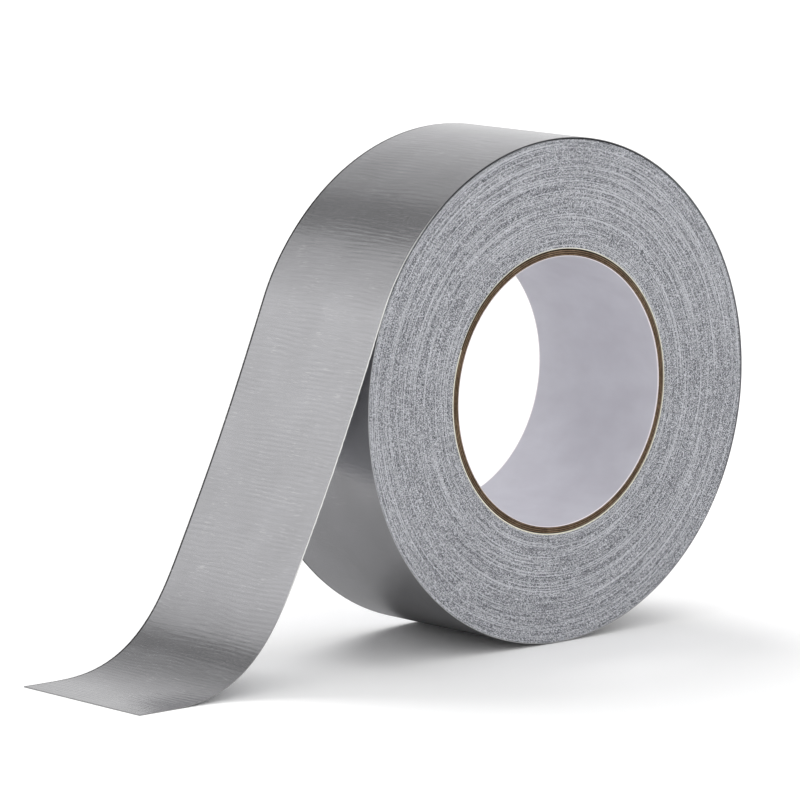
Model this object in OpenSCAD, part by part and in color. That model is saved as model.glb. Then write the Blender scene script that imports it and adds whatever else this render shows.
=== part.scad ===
// A roll of silver cloth-backed tape standing on its edge, with its free end peeled off and
// lying on the surface in front of it. The roll's axis lies along Y, and the origin is at
// the middle of the core. The tape leaves the roll on its -X side.

/* [Core] */
// Bore of the paper core
core_bore_d = 76.2; // [72:0.1:80]
// Thickness of the white paper lining of the bore
liner_t = 0.2; // [0.15:0.05:0.4]
// Thickness of each of the three kraft paper plies
ply_t = 0.55; // [0.4:0.05:0.7]

/* [Roll] */
// Outer diameter of the wound roll
roll_d = 143; // [120:1:160]
// Width of the tape, which is also the length of the core
tape_w = 50; // [24:1:100]

/* [Tape] */
// Thickness of the polyethylene film
film_t = 0.08; // [0.06:0.01:0.12]
// Thickness of the woven cloth under the film
cloth_t = 0.06; // [0.05:0.01:0.1]
// Thickness of the adhesive under the cloth
adhesive_t = 0.1; // [0.06:0.01:0.14]

/* [Free end] */
// Direction in which the tape leaves the roll, in degrees from straight down
leave_angle = 22.5; // [15:0.5:30]
// Further angle that the span gains before the foot bends
span_bow = 4.5; // [0:0.5:8]
// Length of tape in the bend of the foot
foot_len = 64; // [50:1:75]
// Where the foot bends most: 1 is its middle, and more is closer to its end
foot_skew = 1.25; // [1:0.05:1.5]
// Length of tape that lies flat on the surface
flat_len = 8; // [4:1:60]

/* [Bending lines] */
// Length of the lip, between the peel line and the first bending line
lip_len = 8.3; // [7:0.1:10]
// Gap in the tape at each bending line
bend_gap = 0.6; // [0.5:0.1:1]
// Part of the foot that lies above its own bending line
foot_share = 0.6; // [0.5:0.05:0.7]

/* [Hidden] */
tape_t = film_t + cloth_t + adhesive_t;
roll_r = roll_d / 2;
pack_r = roll_r - tape_t;
core_bore_r = core_bore_d / 2;
core_r = core_bore_r + liner_t + 3 * ply_t;
// Angle around the roll where the tape leaves it, from +X towards +Z
peel_angle = 180 - leave_angle;
// Angle below the peel line in which the turn under the outermost one lies bare
bare_angle = 10;
// Steps in which the free end's curve is summed, and in which its outline is drawn
curve_step = 0.25;
outline_step = 2.5;

$fn = 180;

// Direction of a tape that heads the given angle from straight down, and its outward normal
function along(heading) = [-sin(heading), -cos(heading)];
function outward(heading) = [-cos(heading), sin(heading)];

// Share of the foot's bend that is done at the given share of its length
function bend_share(u) = let (v = pow(u, foot_skew)) v * v * (3 - 2 * v);

// The span reaches down to where the foot, at its own height, meets the surface
span_heading = leave_angle + span_bow;
function foot_heading(u) = span_heading + (90 - span_heading) * bend_share(u);
foot_steps = round(foot_len / curve_step);
function foot_drop(i) = i == foot_steps ? 0
    : cos(foot_heading((i + 0.5) / foot_steps)) * foot_len / foot_steps + foot_drop(i + 1);
span_drop = pack_r * sin(leave_angle) + roll_r - foot_drop(0);
span_len = span_drop / cos(leave_angle + span_bow / 2);
tail_len = span_len + foot_len + flat_len;

// Heading of the free end at a distance from the peel line, measured along the tape
function heading(s) =
    s < span_len ? leave_angle + span_bow * s / span_len
    : foot_heading(min((s - span_len) / foot_len, 1));

// Points on the adhesive's face, one curve_step apart, from the peel line to the cut end
curve_start = pack_r * [cos(peel_angle), sin(peel_angle)];
curve = [
    for (i = 0, p = curve_start; i <= tail_len / curve_step + 1;
         p = p + curve_step * along(heading((i + 0.5) * curve_step)), i = i + 1) p
];

// Point at a distance from the peel line, raised off the adhesive's face
function tail_point(s, rise) =
    let (i = floor(s / curve_step))
    curve[i] + (s - i * curve_step) * along(heading(s)) + rise * outward(heading(s));

// The tape's layers: name, lower and upper face above the adhesive's own face, and colour
LAYERS = [
    ["adhesive", 0, adhesive_t, "whitesmoke"],
    ["cloth", adhesive_t, adhesive_t + cloth_t, "gainsboro"],
    ["film", adhesive_t + cloth_t, tape_t, "darkgray"],
];

// Distances from the peel line to the lines where the free end bends
middle_s = (lip_len + span_len) / 2;
foot_s = span_len;
tip_s = span_len + foot_share * foot_len;

// The stretches of the free end: name, and where each starts and ends along the tape
STRETCHES = [
    ["upper_span", lip_len, middle_s],
    ["lower_span", middle_s, foot_s],
    ["foot", foot_s, tip_s],
    ["tip", tip_s, tail_len + bend_gap / 2],
];

// A tube around the roll's axis, as wide as the tape
module tube(inner_r, outer_r) {
    rotate([90, 0, 0])
        difference() {
            cylinder(r = outer_r, h = tape_w, center = true);
            cylinder(r = inner_r, h = tape_w + 2, center = true);
        }
}

// A strip of one layer that follows the free end's curve from one distance to another
module strip(layer, from_s, to_s) {
    steps = ceil((to_s - from_s) / outline_step);
    places = [for (i = [0:steps]) from_s + (to_s - from_s) * i / steps];
    lower = [for (s = places) tail_point(s, layer[1])];
    upper = [for (i = [steps:-1:0]) tail_point(places[i], layer[2])];
    rotate([90, 0, 0])
        linear_extrude(height = tape_w, center = true)
            polygon(concat(lower, upper));
}

module core_liner() {
    color("white") tube(core_bore_r, core_bore_r + liner_t);
}

// One of the core's plies, counted from the liner outwards
module core_ply(number) {
    inner_r = core_bore_r + liner_t + (number - 1) * ply_t;
    color("peru") tube(inner_r, inner_r + ply_t);
}

// Every turn of the tape but the outermost one
module wound_tape() {
    color("lightslategray") tube(core_r, pack_r);
}

// One layer of the outermost turn, with the lip that stands off the roll at the peel line
module outer_turn(layer) {
    color(layer[3]) union() {
        rotate([90, 0, 0])
            rotate_extrude(angle = 360 - bare_angle, start = peel_angle + bare_angle)
                translate([pack_r + layer[1], -tape_w / 2])
                    square([layer[2] - layer[1], tape_w]);
        strip(layer, 0, lip_len - bend_gap / 2);
    }
}

// One layer of one stretch of the free end
module tail_stretch(stretch, layer) {
    color(layer[3]) strip(layer, stretch[1] + bend_gap / 2, stretch[2] - bend_gap / 2);
}

core_liner();
core_ply(1);  // core_inner_ply
core_ply(2);  // core_middle_ply
core_ply(3);  // core_outer_ply
wound_tape();
for (layer = LAYERS) {
    outer_turn(layer);
    for (stretch = STRETCHES)
        tail_stretch(stretch, layer);
}
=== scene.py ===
# A roll of silver cloth-backed tape standing on its edge, with its free end peeled off and lying
# on the floor, in metres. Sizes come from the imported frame, and the film's thickness and the free
# end's curve from the CAD part's driving values, which are repeated below. A distance s runs along
# the tape's adhesive face: 0 at the peel line, negative on the roll and positive on the free end.
import math

import bpy
import numpy as np
from mathutils import Matrix, Vector


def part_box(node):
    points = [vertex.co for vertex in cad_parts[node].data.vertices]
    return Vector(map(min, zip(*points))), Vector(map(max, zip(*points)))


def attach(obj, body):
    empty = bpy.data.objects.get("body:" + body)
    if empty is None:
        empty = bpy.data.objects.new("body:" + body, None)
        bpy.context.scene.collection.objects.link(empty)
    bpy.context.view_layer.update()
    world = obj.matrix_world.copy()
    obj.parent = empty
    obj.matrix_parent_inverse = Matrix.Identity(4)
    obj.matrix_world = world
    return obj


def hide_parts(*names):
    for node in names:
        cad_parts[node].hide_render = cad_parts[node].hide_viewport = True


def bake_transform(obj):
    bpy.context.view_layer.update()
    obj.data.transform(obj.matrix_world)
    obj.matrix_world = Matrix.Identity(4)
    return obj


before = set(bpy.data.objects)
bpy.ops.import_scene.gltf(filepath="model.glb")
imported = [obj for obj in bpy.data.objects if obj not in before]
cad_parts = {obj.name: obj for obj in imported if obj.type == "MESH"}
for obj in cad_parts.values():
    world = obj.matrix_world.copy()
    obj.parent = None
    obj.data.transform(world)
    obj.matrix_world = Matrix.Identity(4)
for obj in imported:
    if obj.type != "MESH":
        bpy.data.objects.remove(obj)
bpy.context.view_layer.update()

MM = 0.001


# ---------------------------------------------------------------- dimensions

def radii(node_name):
    """Smallest and largest distance of a CAD node's corners from the roll's axis."""
    corners = [v.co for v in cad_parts[node_name].data.vertices]
    reach = [math.hypot(c.x, c.z) for c in corners]
    return min(reach), max(reach)


core_r, pack_r = radii("wound_tape")
half_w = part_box("wound_tape")[1].y
floor_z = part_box("tip_adhesive")[0].z

# The tape's layers: name, lower and upper face above the adhesive's own face
adhesive_top = radii("outer_turn_cloth")[0] - pack_r
cloth_top = radii("outer_turn_film")[0] - pack_r
film_t = 0.08 * MM
tape_t = cloth_top + film_t
LAYERS = {
    "adhesive": (0.0, adhesive_top),
    "cloth": (adhesive_top, cloth_top),
    "film": (cloth_top, tape_t),
}

# The free end's curve, as the CAD part draws it
leave_angle = math.radians(22.5)
span_bow = math.radians(4.5)
foot_len = 64 * MM
foot_skew = 1.25
flat_len = 8 * MM
peel_angle = math.pi - leave_angle
curve_step = 0.25 * MM
peel_lift = 0.35 * MM
lift_before = 32 * MM
lift_after = 50 * MM


def foot_heading(share):
    """Heading from straight down, at a share of the foot's length."""
    v = np.power(share, foot_skew)
    start = leave_angle + span_bow
    return start + (math.pi / 2 - start) * v * v * (3 - 2 * v)


foot_steps = round(foot_len / curve_step)
foot_drop = np.cos(foot_heading((np.arange(foot_steps) + 0.5) / foot_steps)).sum() * curve_step
span_drop = pack_r * math.sin(leave_angle) - floor_z - foot_drop
span_len = span_drop / math.cos(leave_angle + span_bow / 2)
tail_len = span_len + foot_len + flat_len


def heading(s):
    """The tape's heading from straight down, at distances along the free end."""
    span = leave_angle + span_bow * s / span_len
    foot = foot_heading(np.clip((s - span_len) / foot_len, 0, 1))
    return np.where(s < span_len, span, foot)


curve_s = np.arange(0, tail_len + 2 * curve_step, curve_step)
middle_headings = heading(curve_s[:-1] + curve_step / 2)
curve_x = np.concatenate([[0], np.cumsum(-np.sin(middle_headings))]) * curve_step
curve_z = np.concatenate([[0], np.cumsum(-np.cos(middle_headings))]) * curve_step
curve_x += pack_r * math.cos(peel_angle)
curve_z += pack_r * math.sin(peel_angle)


def lift(s):
    """How far the tape has come off the turn below before the peel line, and a little after."""
    before = np.clip(1 + s / lift_before, 0, 1)
    after = np.clip(1 - s / lift_after, 0, 1)
    share = np.minimum(before, after)
    return peel_lift * share * share * (3 - 2 * share)


def tape_at(s, rise):
    """X and Z of points on the tape, on the roll's outermost turn and on the free end."""
    rise = rise + lift(s)
    angle = peel_angle + s / pack_r
    turn_r = pack_r + tape_t * (angle - peel_angle) / (2 * math.pi) + rise
    h = heading(np.maximum(s, 0))
    x = np.interp(s, curve_s, curve_x) - rise * np.cos(h)
    z = np.interp(s, curve_s, curve_z) + rise * np.sin(h)
    return (
        np.where(s < 0, turn_r * np.cos(angle), x),
        np.where(s < 0, turn_r * np.sin(angle), z),
    )


# ---------------------------------------------------------------- random wandering

def eased(values, at):
    """Values at knots 0, 1, 2 ..., read between the knots with eased steps."""
    at = np.clip(at, 0, len(values) - 1.001)
    whole = np.floor(at).astype(int)
    part = at - whole
    part = part * part * (3 - 2 * part)
    return values[whole] * (1 - part) + values[whole + 1] * part


def wander_line(seed, length, gap):
    """A smooth random function of a distance from 0 to length, within -1 and 1."""
    knots = np.random.default_rng(seed).uniform(-1, 1, int(length / gap) + 3)
    return lambda s: eased(knots, s / gap)


def wander_plane(seed, length, width, gap_s, gap_y):
    """A smooth random function of distances along and across the tape, within -1 and 1."""
    shape = (int(length / gap_s) + 3, int(width / gap_y) + 3)
    knots = np.random.default_rng(seed).uniform(-1, 1, shape)

    def value(s, y):
        u = np.clip(s / gap_s, 0, shape[0] - 1.001)
        v = np.clip(y / gap_y, 0, shape[1] - 1.001)
        i, j = np.floor(u).astype(int), np.floor(v).astype(int)
        f, g = u - i, v - j
        f, g = f * f * (3 - 2 * f), g * g * (3 - 2 * g)
        near = knots[i, j] * (1 - g) + knots[i, j + 1] * g
        far = knots[i + 1, j] * (1 - g) + knots[i + 1, j + 1] * g
        return near * (1 - f) + far * f

    return value


# ---------------------------------------------------------------- mesh building

def grid_quads(rows, columns, first=0):
    """Quads between neighbouring points of a grid that is stored row by row."""
    at = first + np.arange(rows * columns).reshape(rows, columns)
    corners = (at[:-1, :-1], at[:-1, 1:], at[1:, 1:], at[1:, :-1])
    return np.stack([c.ravel() for c in corners], axis=1)


def add_mesh(name, points, smooth_faces, flat_faces, mats, uv=None):
    """A mesh object from points and faces. Flat faces take the last material and have sharp
    edges. uv holds a pair for each point."""
    mesh = bpy.data.meshes.new(name)
    faces = [tuple(map(int, f)) for f in smooth_faces] + [tuple(map(int, f)) for f in flat_faces]
    mesh.from_pydata(np.asarray(points).tolist(), [], faces)
    smooth = np.zeros(len(faces), dtype=bool)
    smooth[: len(smooth_faces)] = True
    mesh.polygons.foreach_set("use_smooth", smooth)
    mesh.polygons.foreach_set("material_index", np.where(smooth, 0, len(mats) - 1))
    corner_edges = np.zeros(len(mesh.loops), dtype=np.int32)
    mesh.loops.foreach_get("edge_index", corner_edges)
    face_sizes = np.zeros(len(faces), dtype=np.int32)
    mesh.polygons.foreach_get("loop_total", face_sizes)
    sharp = np.zeros(len(mesh.edges), dtype=bool)
    sharp[corner_edges[np.repeat(~smooth, face_sizes)]] = True
    mesh.edges.foreach_set("use_edge_sharp", sharp)
    if uv is not None:
        corner_points = np.zeros(len(mesh.loops), dtype=np.int32)
        mesh.loops.foreach_get("vertex_index", corner_points)
        layer = mesh.uv_layers.new(name="tape")
        layer.data.foreach_set("uv", np.asarray(uv, dtype=np.float32)[corner_points].ravel())
    for mat in mats:
        mesh.materials.append(mat)
    mesh.update()
    mesh.validate()
    made = bpy.data.objects.new(name, mesh)
    bpy.context.scene.collection.objects.link(made)
    return made


# ---------------------------------------------------------------- relief of the tape's faces

ripple_pitch = 1.35 * MM
ripple_h = 0.016 * MM
swell_h = 0.02 * MM
# How far a ripple strays from its place, in pitches, and how strong the finer ones on it are
ripple_stray = 0.8
fine_share = 0.8
relief_start = 2 * math.pi * pack_r + 10 * MM
relief_len = relief_start + tail_len + 10 * MM
ripple_drift = wander_plane(11, relief_len, 2 * half_w, 9 * MM, 14 * MM)
ripple_strength = wander_plane(12, relief_len, 2 * half_w, 7 * MM, 9 * MM)
ripple_fine = wander_plane(13, relief_len, 2 * half_w, 0.9 * MM, 4 * MM)
swell = wander_plane(14, relief_len, 2 * half_w, 16 * MM, 13 * MM)


def film_relief(s, y):
    """Height of the film's crosswise ripples, where the cloth's weft shows through."""
    along, across = s + relief_start, y + half_w
    waves = along / ripple_pitch + ripple_stray * ripple_drift(along, across)
    ripple = np.sin(2 * math.pi * waves) * (0.5 + 0.5 * ripple_strength(along, across))
    fine = fine_share * ripple_fine(along, across)
    return ripple_h * (ripple + fine) + swell_h * swell(along, across)


def flat_face(s, y):
    """A face with no relief."""
    return np.zeros(np.broadcast(s, y).shape)


thread_pitch = 1.35 * MM
thread_h = 0.018 * MM


def adhesive_relief(s, y):
    """Height of the adhesive's lower face, where the threads of the cloth stand out."""
    along, across = s + relief_start, y + half_w
    drift = 0.5 * ripple_drift(along, across)
    weft = np.cos(2 * math.pi * (along / thread_pitch + drift))
    warp = np.cos(2 * math.pi * (across / thread_pitch + 0.3 * drift))
    return -thread_h * (0.5 + 0.5 * np.maximum(weft, warp))


fray = 0.28 * MM
fray_start = -38 * MM
fray_end = 90 * MM
fray_fade = 20 * MM
fray_spread = 0.3
fray_ragged = wander_line(15, relief_len, 1.1 * MM)


def frayed(s):
    """How far the cloth and adhesive stand out past the film's edges where they are white."""
    share = np.clip(np.minimum(1 - s / fray_start, (fray_end - s) / fray_fade), 0, 1)
    return fray * share * (1 + fray_spread * fray_ragged(s + relief_start))


def tape_face(s, columns, rise, relief, fringe):
    """Points of one face of a layer: a row for each s, and columns across the tape."""
    across = np.linspace(-1, 1, columns)
    grid_s, grid_y = np.meshgrid(s, across, indexing="ij")
    grid_y = grid_y * (half_w + fringe(grid_s))
    x, z = tape_at(grid_s, rise + relief(grid_s, grid_y))
    points = np.stack([x, grid_y, z], axis=-1).reshape(-1, 3)
    return points, np.stack([grid_s, grid_y], axis=-1).reshape(-1, 2)


def tape_layer(name, s, layer, mats, upper=(2, flat_face), lower=(2, flat_face)):
    """A closed strip of one layer. upper and lower give each face's columns and its relief."""
    rows = len(s)
    fringe = np.zeros_like if layer == "film" else frayed
    top, top_uv = tape_face(s, upper[0], LAYERS[layer][1], upper[1], fringe)
    bottom, bottom_uv = tape_face(s, lower[0], LAYERS[layer][0], lower[1], fringe)
    first = len(top)
    top_at = np.arange(first).reshape(rows, upper[0])
    bottom_at = first + np.arange(len(bottom)).reshape(rows, lower[0])
    faces = np.concatenate([
        grid_quads(rows, upper[0])[:, ::-1],
        grid_quads(rows, lower[0], first),
    ])
    walls = []
    for column, flip in ((0, False), (-1, True)):
        a, b = top_at[:, column], bottom_at[:, column]
        quads = np.stack([a[:-1], a[1:], b[1:], b[:-1]], axis=1)
        walls.extend(quads[:, ::-1] if flip else quads)
    walls.append(list(top_at[0][::-1]) + list(bottom_at[0]))
    walls.append(list(top_at[-1]) + list(bottom_at[-1][::-1]))
    return add_mesh(name, np.concatenate([top, bottom]), faces, walls, mats,
                    np.concatenate([top_uv, bottom_uv]))


# ---------------------------------------------------------------- materials

def new_material(name, roughness, metallic=0.0, specular=0.5):
    """A node material with its fixed values set on the shader itself."""
    mat = bpy.data.materials.new(name)
    mat.use_nodes = True
    shader = next(n for n in mat.node_tree.nodes if n.type == "BSDF_PRINCIPLED")
    shader.inputs["Roughness"].default_value = roughness
    shader.inputs["Metallic"].default_value = metallic
    shader.inputs["Specular IOR Level"].default_value = specular
    return mat, mat.node_tree, shader


def add_node(tree, kind, inputs=None, **settings):
    """A node with its settings, and its inputs as fixed values or as other nodes' outputs."""
    made = tree.nodes.new(kind)
    for name, value in settings.items():
        setattr(made, name, value)
    for name, value in (inputs or {}).items():
        if isinstance(value, bpy.types.NodeSocket):
            tree.links.new(value, made.inputs[name])
        else:
            made.inputs[name].default_value = value
    return made


def ramp(tree, factor, stops):
    """A colour ramp: stops are pairs of a position and a colour or a grey level."""
    made = add_node(tree, "ShaderNodeValToRGB", {"Fac": factor})
    elements = made.color_ramp.elements
    while len(elements) < len(stops):
        elements.new(0.5)
    for element, (position, colour) in zip(elements, stops):
        element.position = position
        shade = (colour,) * 3 if isinstance(colour, (int, float)) else colour
        element.color = (*shade, 1)
    return made.outputs["Color"]


def noise(tree, vector, scale, detail=2.0, roughness=0.5):
    """Noise between 0 and 1."""
    made = add_node(tree, "ShaderNodeTexNoise", {
        "Vector": vector, "Scale": scale, "Detail": detail, "Roughness": roughness,
    })
    return made.outputs["Fac"]


def scaled(tree, vector, scale):
    """A vector multiplied part by part."""
    made = add_node(tree, "ShaderNodeVectorMath", {0: vector, 1: scale}, operation="MULTIPLY")
    return made.outputs["Vector"]


def scaled_part(tree, vector, part, scale):
    """One part of a vector, times a number."""
    made = add_node(tree, "ShaderNodeSeparateXYZ", {0: vector})
    return maths(tree, "MULTIPLY", made.outputs[part], scale)


def maths(tree, operation, first, second=0.0):
    """One step of arithmetic."""
    made = add_node(tree, "ShaderNodeMath", {0: first, 1: second}, operation=operation)
    return made.outputs["Value"]


def mixed(tree, factor, first, second):
    """One colour over another."""
    made = add_node(tree, "ShaderNodeMix", {0: factor, 6: first, 7: second}, data_type="RGBA")
    return made.outputs[2]


def multiplied(tree, first, second):
    """One colour times another."""
    made = add_node(tree, "ShaderNodeMix", {0: 1.0, 6: first, 7: second},
                    data_type="RGBA", blend_type="MULTIPLY")
    return made.outputs[2]


def bump(tree, shader, height, depth):
    """Fine relief from a height between 0 and 1, depth metres from bottom to top."""
    made = add_node(tree, "ShaderNodeBump", {"Height": height, "Distance": depth})
    tree.links.new(made.outputs["Normal"], shader.inputs["Normal"])


def tape_map(tree):
    """The place on the tape in millimetres: along it, across it."""
    place = add_node(tree, "ShaderNodeUVMap", uv_map="tape").outputs["UV"]
    return scaled(tree, place, (1000, 1000, 1))


def film_material():
    """Silver-grey polyethylene: satin, with faint blotches and small bright flecks across the tape.
    Its colour carries painted shade: a dark line along the back edge only, and a darker band near the
    end of the tape, as in the photograph."""
    mat, tree, shader = new_material("silver_film", 0.2, metallic=0.9, specular=0.5)
    place = tape_map(tree)
    blotch = noise(tree, scaled(tree, place, (0.05, 0.07, 1)), 1.0, 3.0)
    grain = noise(tree, scaled(tree, place, (1.6, 0.9, 1)), 1.0, 2.0)
    streaks = noise(tree, scaled(tree, place, (1.9, 0.17, 1)), 1.0, 1.0)
    fleck = noise(tree, scaled(tree, place, (2.8, 0.26, 1)), 1.0, 2.0, 0.6)
    patch = noise(tree, scaled(tree, place, (0.16, 0.10, 1)), 1.0, 1.0)
    clean = ramp(tree, blotch, [(0.3, (0.588, 0.586, 0.604)), (0.7, (0.636, 0.634, 0.656))])
    parts = add_node(tree, "ShaderNodeSeparateXYZ", {0: place}).outputs
    # Painted shade standing in for a darker reflection on the foot: 0.77 at 110 mm and 0.86 from 130
    # mm along the free end
    end_shade_from, end_shade_len = 98.0, 32.0
    near_end = maths(tree, "DIVIDE", maths(tree, "SUBTRACT", parts["X"], end_shade_from), end_shade_len)
    painted_end_shade = ramp(tree, near_end, [(0.0, 1.0), (0.1, 1.0), (0.38, 0.77), (1.0, 0.86)])
    # Painted shade: the film's colour goes near black within half a millimetre of its back edge,
    # fading out by 0.75 mm
    inside = maths(tree, "SUBTRACT", half_w / MM, parts["Y"])
    painted_edge_shade = ramp(tree, inside, [(0.50, 0.12), (0.75, 1.0)])
    base = multiplied(tree, multiplied(tree, clean, painted_end_shade), painted_edge_shade)
    flecked = maths(tree, "ADD", fleck, maths(tree, "MULTIPLY", patch, 0.35))
    mask = ramp(tree, flecked, [(0.79, 0.0), (0.90, 0.32)])
    colour = mixed(tree, mask, base, (0.95, 0.95, 0.95, 1))
    tree.links.new(colour, shader.inputs["Base Color"])
    satin = ramp(tree, grain, [(0.25, 0.17), (0.75, 0.24)])
    tree.links.new(satin, shader.inputs["Roughness"])
    bump(tree, shader, streaks, 0.022 * MM)
    return mat


def cloth_material():
    """White cotton threads."""
    mat, tree, shader = new_material("gauze", 0.85, specular=0.3)
    place = tape_map(tree)
    fibre = noise(tree, scaled(tree, place, (6, 6, 1)), 1.0, 3.0)
    colour = ramp(tree, fibre, [(0.3, (0.72, 0.72, 0.71)), (0.7, (0.88, 0.88, 0.87))])
    tree.links.new(colour, shader.inputs["Base Color"])
    bump(tree, shader, fibre, 0.02 * MM)
    return mat


def adhesive_material():
    """Grey-white rubber adhesive: mottled, with a faint grid at the pitch of the cloth's threads."""
    mat, tree, shader = new_material("adhesive", 0.45, specular=0.5)
    place = tape_map(tree)
    mottle = noise(tree, scaled(tree, place, (0.25, 0.25, 1)), 1.0, 4.0)
    threads = add_node(tree, "ShaderNodeSeparateXYZ", {0: place})
    waves = []
    for output in ("X", "Y"):
        turn = maths(tree, "MULTIPLY", threads.outputs[output], 2 * math.pi * MM / thread_pitch)
        waves.append(maths(tree, "COSINE", turn))
    weave = maths(tree, "MAXIMUM", waves[0], waves[1])
    shade = maths(tree, "ADD", maths(tree, "MULTIPLY", weave, 0.25), mottle)
    colour = ramp(tree, shade, [(0.2, (0.235, 0.24, 0.26)), (0.9, (0.375, 0.38, 0.40))])
    tree.links.new(colour, shader.inputs["Base Color"])
    satin = ramp(tree, mottle, [(0.3, 0.38), (0.7, 0.55)])
    tree.links.new(satin, shader.inputs["Roughness"])
    return mat


def cut_edge_material():
    """The cut edge of the cloth and adhesive, by distance along the tape: white along the span, with
    painted shade making it grey low on the roll, near black over the top of the roll and grey on the
    foot, as in the photograph."""
    mat, tree, shader = new_material("cut_edge", 0.6, specular=0.3)
    place = tape_map(tree)
    fibre = noise(tree, scaled(tree, place, (5, 5, 1)), 1.0, 2.0)
    along = add_node(tree, "ShaderNodeSeparateXYZ", {0: place}).outputs["X"]
    share = maths(tree, "DIVIDE", maths(tree, "ADD", along, 500.0), 700.0)
    # Painted shade: every stop but the white ones darkens the white edge where it lies in shade
    base = ramp(tree, share, [
        (0.30, (0.42, 0.43, 0.44)),
        (0.37, (0.13, 0.13, 0.135)),
        (0.66, (0.09, 0.09, 0.095)),
        (0.70, (0.96, 0.96, 0.95)),
        (0.81, (0.96, 0.96, 0.95)),
        (0.84, (0.30, 0.30, 0.30)),
    ])
    threads = ramp(tree, fibre, [(0.35, (0.84, 0.84, 0.83)), (0.6, (1.0, 1.0, 1.0))])
    tree.links.new(multiplied(tree, base, threads), shader.inputs["Base Color"])
    return mat


def tape_edge_material():
    """The sides of the wound turns: grey film, pale cloth and adhesive, in fine rings, with a
    cream line next to the core, and painted shade darkening the turns that stand back under the
    outermost one."""
    mat, tree, shader = new_material("tape_edge", 0.6, specular=0.35)
    place = add_node(tree, "ShaderNodeTexCoord").outputs["Object"]
    flat = scaled(tree, place, (1, 0, 1))
    round_way = add_node(tree, "ShaderNodeVectorMath", {0: flat}, operation="NORMALIZE")
    reach = add_node(tree, "ShaderNodeVectorMath", {0: flat}, operation="LENGTH")
    height = scaled_part(tree, place, "Y", 1 / MM)

    def beyond(radius):
        """Distance outwards from a radius, in millimetres."""
        return maths(tree, "DIVIDE", maths(tree, "SUBTRACT", reach.outputs["Value"], radius), MM)

    def rings(per_mm, along, detail):
        """Noise in rings: per_mm changes to a millimetre outwards, and slow ones along."""
        outwards = maths(tree, "MULTIPLY", reach.outputs["Value"], per_mm / MM)
        spot = add_node(tree, "ShaderNodeVectorMath", {0: round_way.outputs["Vector"], 3: along},
                        operation="SCALE")
        raised = add_node(tree, "ShaderNodeCombineXYZ", {"Y": outwards})
        total = add_node(tree, "ShaderNodeVectorMath",
                         {0: spot.outputs["Vector"], 1: raised.outputs["Vector"]})
        return noise(tree, total.outputs["Vector"], 1.0, detail)

    fine = rings(3.4, 6.0, 0.0)
    speckle = noise(tree, scaled(tree, place, (4500, 4500, 4500)), 1.0, 0.0)
    shade = maths(tree, "ADD", maths(tree, "MULTIPLY", fine, 0.18),
                  maths(tree, "MULTIPLY", speckle, 0.82))
    grain = ramp(tree, shade, [
        (0.33, (0.055, 0.059, 0.068)),
        (0.50, (0.262, 0.269, 0.293)),
        (0.67, (0.660, 0.668, 0.710)),
    ])
    lines = ramp(tree, rings(3.0, 1.2, 0.0), [(0.58, 0.0), (0.67, 0.55)])
    turns_colour = mixed(tree, lines, grain, (0.66, 0.67, 0.71, 1))
    first_turn = ramp(tree, beyond(core_r), [(0.42, 0.90), (0.60, 0.0)])
    lit = mixed(tree, first_turn, turns_colour, (0.90, 0.86, 0.70, 1))
    # Painted shade: the colour darkens from 0.25 mm back from the side face to 0.16 at 0.65 mm back,
    # in the recess under the outermost turn
    recess = maths(tree, "SUBTRACT", half_w / MM, maths(tree, "ABSOLUTE", height))
    depth = ramp(tree, recess, [(0.25, 1.0), (0.65, 0.16)])
    tree.links.new(multiplied(tree, lit, depth), shader.inputs["Base Color"])
    bump(tree, shader, speckle, 0.05 * MM)
    return mat


def kraft_material():
    """Brown kraft paper: long fibres, darker flecks and a dark line between plies."""
    mat, tree, shader = new_material("kraft", 0.85, specular=0.25)
    place = add_node(tree, "ShaderNodeTexCoord").outputs["Object"]
    fibres = noise(tree, scaled(tree, place, (1400, 500, 1400)), 1.0, 4.0, 0.6)
    tint = noise(tree, scaled(tree, place, (120, 120, 120)), 1.0, 2.0)
    base = ramp(tree, tint, [(0.35, (0.185, 0.122, 0.074)), (0.65, (0.275, 0.188, 0.118))])
    flecks = ramp(tree, fibres, [(0.38, 0.55), (0.6, 0.0)])
    colour = mixed(tree, flecks, base, (0.060, 0.038, 0.024, 1))
    flat = scaled(tree, place, (1, 0, 1))
    reach = add_node(tree, "ShaderNodeVectorMath", {0: flat}, operation="LENGTH")
    first_r, next_r = radii("core_inner_ply")
    plies = maths(tree, "DIVIDE", maths(tree, "SUBTRACT", reach.outputs["Value"], first_r),
                  next_r - first_r)
    middle = maths(tree, "SUBTRACT", maths(tree, "FRACT", plies), 0.5)
    seam = ramp(tree, maths(tree, "ABSOLUTE", middle), [(0.16, 1.0), (0.42, 0.18)])
    tree.links.new(multiplied(tree, colour, seam), shader.inputs["Base Color"])
    bump(tree, shader, fibres, 0.04 * MM)
    return mat


def liner_material():
    """Pale paper lining, with a faint mottle and whiter cut edges."""
    mat, tree, shader = new_material("liner_paper", 0.6, specular=0.4)
    place = add_node(tree, "ShaderNodeTexCoord").outputs["Object"]
    mottle = noise(tree, scaled(tree, place, (150, 90, 150)), 1.0, 3.0)
    fibres = noise(tree, scaled(tree, place, (2600, 900, 2600)), 1.0, 3.0)
    colour = ramp(tree, mottle, [(0.3, (0.54, 0.53, 0.58)), (0.7, (0.59, 0.585, 0.635))])
    height = scaled_part(tree, place, "Y", 1 / MM)
    inside = maths(tree, "SUBTRACT", half_w / MM, maths(tree, "ABSOLUTE", height))
    edge = ramp(tree, inside, [(0.3, 1.0), (0.5, 0.0)])
    paper = mixed(tree, edge, colour, (0.93, 0.86, 0.88, 1))
    tree.links.new(paper, shader.inputs["Base Color"])
    bump(tree, shader, fibres, 0.01 * MM)
    return mat


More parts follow.
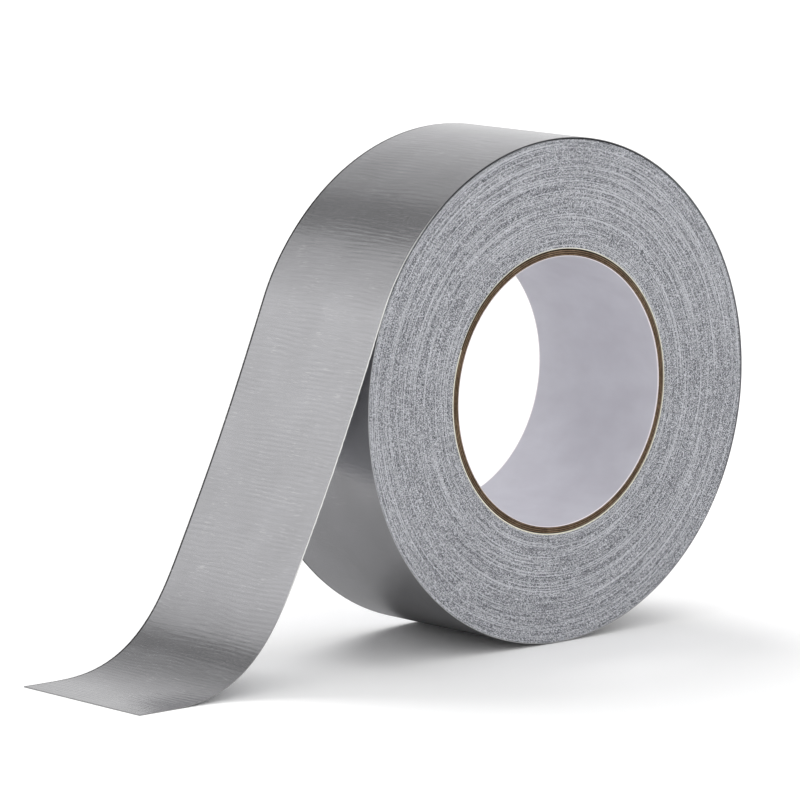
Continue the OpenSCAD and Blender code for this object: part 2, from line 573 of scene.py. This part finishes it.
def floor_material():
    """Plain white floor, overexposed to the camera and darker in the film's reflections."""
    mat, tree, shader = new_material("floor", 0.9, specular=0.0)
    path = add_node(tree, "ShaderNodeLightPath").outputs
    plain = mixed(tree, path["Is Camera Ray"], (0.95, 0.95, 0.95, 1), (1.06, 1.06, 1.06, 1))
    colour = mixed(tree, path["Is Glossy Ray"], plain, (0.36, 0.36, 0.36, 1))
    tree.links.new(colour, shader.inputs["Base Color"])
    return mat


# ---------------------------------------------------------------- the wound turns

turn_steps = 288
turns = round((pack_r - core_r) / tape_t) - 1
edge_spread = 0.045 * MM
groove_depth = 0.05 * MM
# Where a turn's ridge lies in the tape's thickness
ridge_share = 0.45
rim_recess = 1.1 * MM


def rim_gap(step):
    """How far the last turns stand back under the outermost one, over the top of the roll: one
    turn, and two before the peel line."""
    turn, part = step // turn_steps, step % turn_steps / turn_steps
    ends = np.clip((1 - part) / 0.03, 0, 1)
    one = np.clip((part - 0.48) / 0.06, 0, 1) * (turn >= turns - 1)
    two = np.clip((part - 0.83) / 0.06, 0, 1) * (turn >= turns - 2)
    return rim_recess * np.minimum(np.maximum(one, two), ends)


def wound_half(name, side, mat):
    """Half the width of every turn under the outermost one: a ring whose side shows each turn's
    edge as a low ridge. side is -1 for the front and 1 for the back."""
    start_r = pack_r - tape_t - turns * tape_t
    ridge_end = turns * turn_steps
    step = np.arange(ridge_end + turn_steps + 1)
    angle = peel_angle + 2 * math.pi * step / turn_steps
    length = 2 * math.pi * pack_r * step / turn_steps
    reach = length[-1]
    slow = wander_line(21 + side, reach, 170 * MM)
    quick = wander_line(31 + side, reach, 35 * MM)
    wander = edge_spread * (0.8 * slow(length) + 0.35 * quick(length)) - rim_gap(step)
    groove_r = start_r + tape_t * step / turn_steps
    groove_y = half_w - groove_depth + wander
    ridge_y = half_w + wander
    ridge_r = groove_r + ridge_share * tape_t

    def ring(radius, y):
        return np.stack([radius * np.cos(angle), side * y, radius * np.sin(angle)], axis=1)

    ridge = ring(ridge_r, ridge_y)[: ridge_end + 1]
    groove = ring(groove_r, groove_y)
    middle = ring(groove_r, np.zeros(len(step)))
    points = np.concatenate([ridge, groove, middle])
    h = np.arange(ridge_end + 1)
    g = len(ridge) + step
    m = len(ridge) + len(groove) + step
    rising = np.stack([g[:ridge_end], g[1: ridge_end + 1], h[1:], h[:-1]], axis=1)
    falling = np.stack([h[:-1], h[1:], g[turn_steps + 1:], g[turn_steps:-1]], axis=1)
    walls = []
    for first in (0, ridge_end):
        a, b = g[first: first + turn_steps + 1], m[first: first + turn_steps + 1]
        walls.extend(np.stack([a[:-1], a[1:], b[1:], b[:-1]], axis=1))
        walls.append([g[first], h[first], g[first + turn_steps], m[first + turn_steps], m[first]])
    inner, outer = m[: turn_steps + 1], m[ridge_end:]
    caps = [[inner[i], inner[i + 1], outer[i + 1], outer[i]] for i in range(1, turn_steps - 1)]
    caps.append([inner[0], inner[1], outer[1], outer[0], inner[-1]])
    caps.append([inner[-2], inner[-1], outer[0], outer[-1], outer[-2]])
    made = add_mesh(name, points, np.concatenate([rising, falling]), walls + caps, [mat])
    point_outwards(made)
    return made


def point_outwards(piece):
    """Turns every face of a closed mesh to point out of it."""
    bpy.context.view_layer.objects.active = piece
    bpy.ops.object.mode_set(mode="EDIT")
    bpy.ops.mesh.select_all(action="SELECT")
    bpy.ops.mesh.normals_make_consistent(inside=False)
    bpy.ops.object.mode_set(mode="OBJECT")


# ---------------------------------------------------------------- the core

core_steps = 480


def ply(name, node_name, fuzz, seed, mat):
    """One paper ply of the core: a tube with domed, slightly ragged edges."""
    inner, outer = radii(node_name)
    thick = outer - inner
    dome = 0.3 * thick
    rim = [(inner, -2.2 * dome), (inner + 0.12 * thick, -0.7 * dome), (inner + 0.32 * thick, 0.0),
           (inner + 0.68 * thick, 0.0), (inner + 0.88 * thick, -0.7 * dome), (outer, -2.2 * dome)]
    profile = [(r, half_w + y) for r, y in rim] + [(r, -half_w - y) for r, y in reversed(rim)]
    rows = len(profile)
    angle = np.linspace(0, 2 * math.pi, core_steps, endpoint=False)
    ragged = np.random.default_rng(seed).normal(0, fuzz, (2, rows, core_steps))
    ragged = (ragged + np.roll(ragged, 1, axis=2)) / 2
    profile_r, profile_y = np.array(profile).T[:, :, None]
    radius = profile_r + np.zeros(core_steps)
    y = profile_y + ragged[0] * np.sign(profile_y)
    points = np.stack([radius * np.cos(angle), y, radius * np.sin(angle)], axis=-1).reshape(-1, 3)
    at = np.arange(rows * core_steps).reshape(rows, core_steps)
    ahead, above = np.roll(at, -1, axis=1), np.roll(at, -1, axis=0)
    both = np.roll(ahead, -1, axis=0)
    quads = np.stack([at, ahead, both, above], axis=-1).reshape(-1, 4)
    made = add_mesh(name, points, quads, [], [mat])
    point_outwards(made)
    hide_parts(node_name)
    return made


# ---------------------------------------------------------------- building the object

film = film_material()
cloth = cloth_material()
adhesive = adhesive_material()
tape_edge = tape_edge_material()
cut_edge = cut_edge_material()
kraft = kraft_material()
liner = liner_material()
LAYER_MATERIALS = {
    "adhesive": [adhesive, cut_edge],
    "cloth": [cloth, cut_edge],
    "film": [film],
}

for name, side in (("wound_turns_front", -1), ("wound_turns_back", 1)):
    turns_piece = wound_half(name, side, tape_edge)
    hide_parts("wound_tape")
    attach(turns_piece, "roll")

for name, node_name, fuzz, mat, slot in (
    ("liner_paper_tube", "core_liner", 0.010 * MM, liner, "liner"),
    ("inner_ply_tube", "core_inner_ply", 0.022 * MM, kraft, "kraft"),
    ("middle_ply_tube", "core_middle_ply", 0.022 * MM, kraft, "kraft"),
    ("outer_ply_tube", "core_outer_ply", 0.022 * MM, kraft, "kraft"),
):
    tube = ply(name, node_name, fuzz, 41 + len(name), mat)
    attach(tube, "roll")

# The outermost turn, which starts just behind the peel line, under the free end
turn_columns, turn_rows = 49, 1260
turn_start = -2 * math.pi * pack_r - 1.5 * MM
turn_s = np.linspace(turn_start, 0, turn_rows)
turn_edge_s = turn_s[::4]
turn_edge_s = np.append(turn_edge_s[:-1], 0.0)
for layer, s, upper in (
    ("film", turn_s, (turn_columns, film_relief)),
    ("cloth", turn_edge_s, (2, flat_face)),
    ("adhesive", turn_edge_s, (2, flat_face)),
):
    turn_piece = tape_layer(f"outermost_{layer}", s, layer, LAYER_MATERIALS[layer], upper)
    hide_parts(f"outer_turn_{layer}")
    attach(turn_piece, "roll")

# The free end's pieces: where each ends, its joint, the bend before and after it, and the next body
PIECES = [
    ("peel", 26 * MM, "peel_line", 5 * MM, 8 * MM, "upper_span"),
    ("span", 55.1 * MM, "span_bend", 13 * MM, 13 * MM, "lower_span"),
    ("foot", 89.9 * MM, "foot_bend", 14 * MM, 14 * MM, "foot"),
    ("tip", tail_len, "tip_bend", 17 * MM, 17 * MM, "tip"),
]
fine_step = 0.27 * MM
film_columns, adhesive_columns = 61, 109
piece_start, body = 0.0, "roll"
for place, piece_end, joint, before, after, next_body in PIECES:
    rows = round((piece_end - piece_start) / fine_step) + 1
    s = np.linspace(piece_start, piece_end, rows)
    for layer, upper, lower in (
        ("film", (film_columns, film_relief), (2, flat_face)),
        ("cloth", (2, flat_face), (2, flat_face)),
        ("adhesive", (2, flat_face), (adhesive_columns, adhesive_relief)),
    ):
        piece = tape_layer(f"{place}_{layer}_strip", s, layer, LAYER_MATERIALS[layer], upper, lower)
        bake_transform(piece)
        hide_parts(f"{next_body}_{layer}")
    piece_start, body = piece_end, next_body


# ---------------------------------------------------------------- stage, lights and camera

# Fitted by least squares to the roll's rims in the photograph, with the camera held level
camera_azimuth = math.radians(-41.361)
camera_elevation = math.radians(8.754)
camera_distance = 1.62217
camera_aside = -0.028334
camera_raise = -0.005190
camera_lens = 257.8

back = Vector((math.sin(camera_azimuth) * math.cos(camera_elevation),
               -math.cos(camera_azimuth) * math.cos(camera_elevation),
               math.sin(camera_elevation)))
right = (-back).cross(Vector((0, 0, 1))).normalized()
up = back.cross(right)


def add_camera():
    """The camera, looking along -back."""
    data = bpy.data.cameras.new("camera")
    data.lens = camera_lens
    data.sensor_width = 36
    data.clip_end = 30
    made = bpy.data.objects.new("camera", data)
    bpy.context.scene.collection.objects.link(made)
    place = back * camera_distance + right * camera_aside + up * camera_raise
    turn = Matrix((right, up, back)).transposed().to_4x4()
    made.matrix_world = Matrix.Translation(place) @ turn
    bpy.context.scene.camera = made


def add_floor(radius):
    """A round floor at the surface that the roll stands on."""
    mesh = bpy.data.meshes.new("floor")
    angle = np.linspace(0, 2 * math.pi, 96, endpoint=False)
    height = floor_z - 0.02 * MM
    rim = [(radius * math.cos(a), radius * math.sin(a), height) for a in angle]
    mesh.from_pydata(rim, [], [tuple(range(len(rim)))])
    mesh.materials.append(floor_material())
    made = bpy.data.objects.new("floor", mesh)
    bpy.context.scene.collection.objects.link(made)


def add_sun(name, direction, width, strength):
    """Soft light from a direction, width radians across, that reflections don't show."""
    data = bpy.data.lights.new(name, "SUN")
    data.angle = width
    data.energy = strength
    made = bpy.data.objects.new(name, data)
    bpy.context.scene.collection.objects.link(made)
    made.visible_glossy = False
    made.matrix_world = Vector(direction).to_track_quat("Z", "Y").to_matrix().to_4x4()


def mirrored(angle):
    """Where the film at an angle round the roll sends the camera's line of sight."""
    normal = Vector((math.cos(angle), 0, math.sin(angle)))
    return 2 * normal.dot(back) * normal - back


def gap_share(tree, look, direction, stops):
    """Light by the angle from a direction: stops are pairs of degrees and a level."""
    facing = add_node(tree, "ShaderNodeVectorMath", {0: look, 1: direction},
                      operation="DOT_PRODUCT").outputs["Value"]
    share = maths(tree, "DIVIDE", maths(tree, "ARCCOSINE", facing), math.pi)
    return ramp(tree, share, [(degrees / 180, level) for degrees, level in stops])


def add_world():
    """A studio that looks plain white to the camera, with two dark regions for the film to reflect.
    Their levels are set so that the film's tones match the photograph's."""
    world = bpy.data.worlds.new("studio")
    world.use_nodes = True
    tree = world.node_tree
    background = next(n for n in tree.nodes if n.type == "BACKGROUND")
    look = add_node(tree, "ShaderNodeTexCoord").outputs["Generated"]
    broad = gap_share(tree, look, mirrored(math.radians(125.5)), [
        (0, 0.37), (8, 0.385), (21, 0.51), (31, 0.61), (41, 0.715), (48, 0.82), (54, 0.90), (66, 1.0),
    ])
    narrow = gap_share(tree, look, mirrored(math.radians(132.8)), [
        (0, 0.25), (5, 0.34), (9.6, 0.76), (12, 0.85), (15, 0.88), (20, 0.91), (26, 0.955), (34, 1.0),
    ])
    light = multiplied(tree, broad, narrow)
    path = add_node(tree, "ShaderNodeLightPath").outputs
    seen = mixed(tree, path["Is Camera Ray"], light, (1, 1, 1, 1))
    tree.links.new(seen, background.inputs["Color"])
    background.inputs["Strength"].default_value = 1.0
    bpy.context.scene.world = world


add_camera()
add_floor(6.0)
add_world()
add_sun("behind", (0.12, 0.60, 0.79), math.radians(35), 1.3)
bpy.context.scene.view_settings.view_transform = "Standard"
